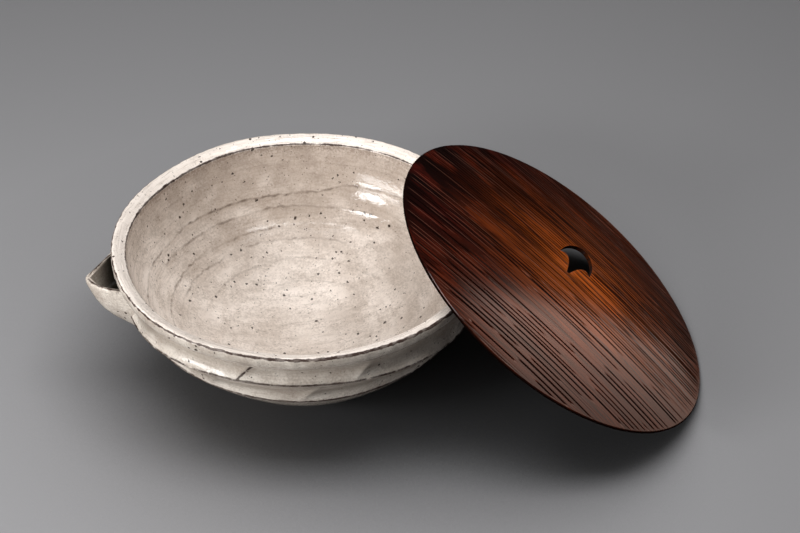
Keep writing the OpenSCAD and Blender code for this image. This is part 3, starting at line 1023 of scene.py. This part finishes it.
# %% Bare clay
bare_clay, tree, shader = new_material("bare_clay")
place = put(tree, "ShaderNodeTexCoord").outputs["Object"]
cloud = place_group(tree, clouds, Place=place, Scale=55.0)
colour = blend_colour(tree, cloud["Broad"], (0.20, 0.115, 0.07, 1), (0.40, 0.265, 0.17, 1))
grog = place_group(tree, specks, Place=place, Scale=420.0, Size=0.16, Share=0.35)["Mask"]
colour = blend_colour(tree, grog, colour, (0.52, 0.42, 0.31, 1))
tree.links.new(colour, shader.inputs["Base Color"])
shader.inputs["Roughness"].default_value = 0.85
raise_skin(tree, shader, plus(tree, cloud["Fine"], grog), 0.6, 0.0006)
paint(bare_clay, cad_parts["foot_ring"])

# %% [markdown]
# ## Wiped lacquer
# Clear brown lacquer rubbed into open grain: deep red to amber on the wood, warmest round the finger hole, dull at the
# low end and darkest at the far one. The grain needs the lid's own frame, so the place is turned back from the leaning
# pose, with X along the grain.

# %% Colours of the board
lid_turn, lid_middle = lid_place.to_euler("XYZ"), lid_place.to_translation() * MM
wiped_lacquer, tree, shader = new_material("wiped_lacquer")
leaning = {"Vector": put(tree, "ShaderNodeTexCoord").outputs["Object"], "Location": lid_middle, "Rotation": lid_turn}
place = put(tree, "ShaderNodeMapping", {"vector_type": "TEXTURE"}, **leaning).outputs[0]
own = put(tree, "ShaderNodeSeparateXYZ", _0=place).outputs
lines = place_group(tree, grain, Place=place)
from_hole = put(tree, "ShaderNodeVectorMath", {"operation": "SUBTRACT"}, _0=place, _1=(0.01, 0.02, 0.009)).outputs[0]
from_hole = put(tree, "ShaderNodeMapping", Vector=from_hole, Scale=(0.55, 1.0, 1.0)).outputs[0]
from_hole = put(tree, "ShaderNodeVectorMath", {"operation": "LENGTH"}, _0=from_hole).outputs["Value"]
colour = blend_colour(tree, lines["Broad"], (0.034, 0.0060, 0.0030, 1), (0.185, 0.0340, 0.0090, 1))
amber_share = plus(tree, times(tree, lines["Broad"], 0.7), 0.3)
amber_share = times(tree, spread(tree, from_hole, 0.01, 0.085, 1.0, 0.0), amber_share)
colour = blend_colour(tree, amber_share, colour, (0.74, 0.150, 0.014, 1))
colour = blend_colour(tree, spread(tree, own[0], 0.03, 0.10, 0.0, 0.7), colour, (0.060, 0.0150, 0.0075, 1))
far_end = spread(tree, own[0], -0.125, -0.01, 1.0, 0.0)
colour = blend_colour(tree, times(tree, far_end, 0.8), colour, (0.080, 0.0060, 0.0045, 1))
print("board colours", len(tree.nodes), "nodes")

# %% [markdown]
# Lacquer stays dark in the pores, so streaks and hairs run along the grain, and the far end has charred patches. What
# lies below the top face, such as the wall of the finger hole and the underside, is dark all over.

# %% Streaks, patches and underside
dark_streak = spread(tree, lines["Streak"], 0.40, 0.85, 0.0, 0.85)
colour = blend_colour(tree, dark_streak, colour, (0.0055, 0.0011, 0.0008, 1))
charred = times(tree, spread(tree, lines["Patch"], 0.22, 0.55, 0.0, 0.97), far_end)
colour = blend_colour(tree, charred, colour, (0.003, 0.0008, 0.0007, 1))
colour = blend_colour(tree, times(tree, lines["Hair"], 0.5), colour, (0.010, 0.0025, 0.0015, 1))
off_middle = plus(tree, times(tree, own[0], own[0]), times(tree, own[1], own[1]))
top_here = minus(tree, (lid_dome + lid_t) * MM, times(tree, off_middle, 0.5 / (top_r * MM)))
under = spread(tree, minus(tree, top_here, own[2]), 0.0003, 0.0008, 0.0, 0.85)
colour = blend_colour(tree, under, colour, (0.008, 0.0035, 0.0028, 1))
print("streaks", len(tree.nodes), "nodes")

# %% [markdown]
# The grooves are black and dry, and the painted glint lines, painted highlights of groove edges, are a little lighter
# than the wood. The clear coat lies on the wood between the grooves only, and it gives the lid its sheen.

# %% Grooves and coat
groove_and_glint_here = mark(tree, "groove_and_glint")
# Painted highlight: the glint lines are coloured lighter than the wood.
painted_glint = spread(tree, groove_and_glint_here, -0.5, -0.05, 0.55, 0.0)
colour = blend_colour(tree, painted_glint, colour, (0.150, 0.062, 0.042, 1))
sunk = put(tree, "ShaderNodeClamp", _0=times(tree, groove_and_glint_here, 1.25)).outputs[0]
colour = blend_colour(tree, sunk, colour, (0.004, 0.0016, 0.0012, 1))
tree.links.new(colour, shader.inputs["Base Color"])
gloss = spread(tree, lines["Hair"], 0.0, 1.0, 0.30, 0.46)
tree.links.new(plus(tree, gloss, times(tree, groove_and_glint_here, 0.35)), shader.inputs["Roughness"])
raise_skin(tree, shader, times(tree, lines["Hair"], -0.6), 0.07, 0.0003)
tree.links.new(spread(tree, groove_and_glint_here, 0.06, 0.40, 0.85, 0.0), shader.inputs["Coat Weight"])
shader.inputs["Specular IOR Level"].default_value = 0.0
shader.inputs["Coat Roughness"].default_value = 0.12
paint(wiped_lacquer, lacquered_lid)

# %% [markdown]
# ## Black lacquer
# The hoop under the lid is a thin strip of wood, bent and glued into a ring. It gets plain dark lacquer, a little
# uneven from the brush.

# %% Black lacquer of the hoop
black_lacquer, tree, shader = new_material("black_lacquer")
place = put(tree, "ShaderNodeTexCoord").outputs["Object"]
cloud = place_group(tree, clouds, Place=place, Scale=60.0)
colour = blend_colour(tree, cloud["Broad"], (0.012, 0.006, 0.005, 1), (0.045, 0.013, 0.008, 1))
tree.links.new(colour, shader.inputs["Base Color"])
tree.links.new(spread(tree, cloud["Fine"], 0.0, 1.0, 0.28, 0.45), shader.inputs["Roughness"])
raise_skin(tree, shader, cloud["Fine"], 0.25, 0.0004)
paint(black_lacquer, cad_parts["lid_locating_ring"])
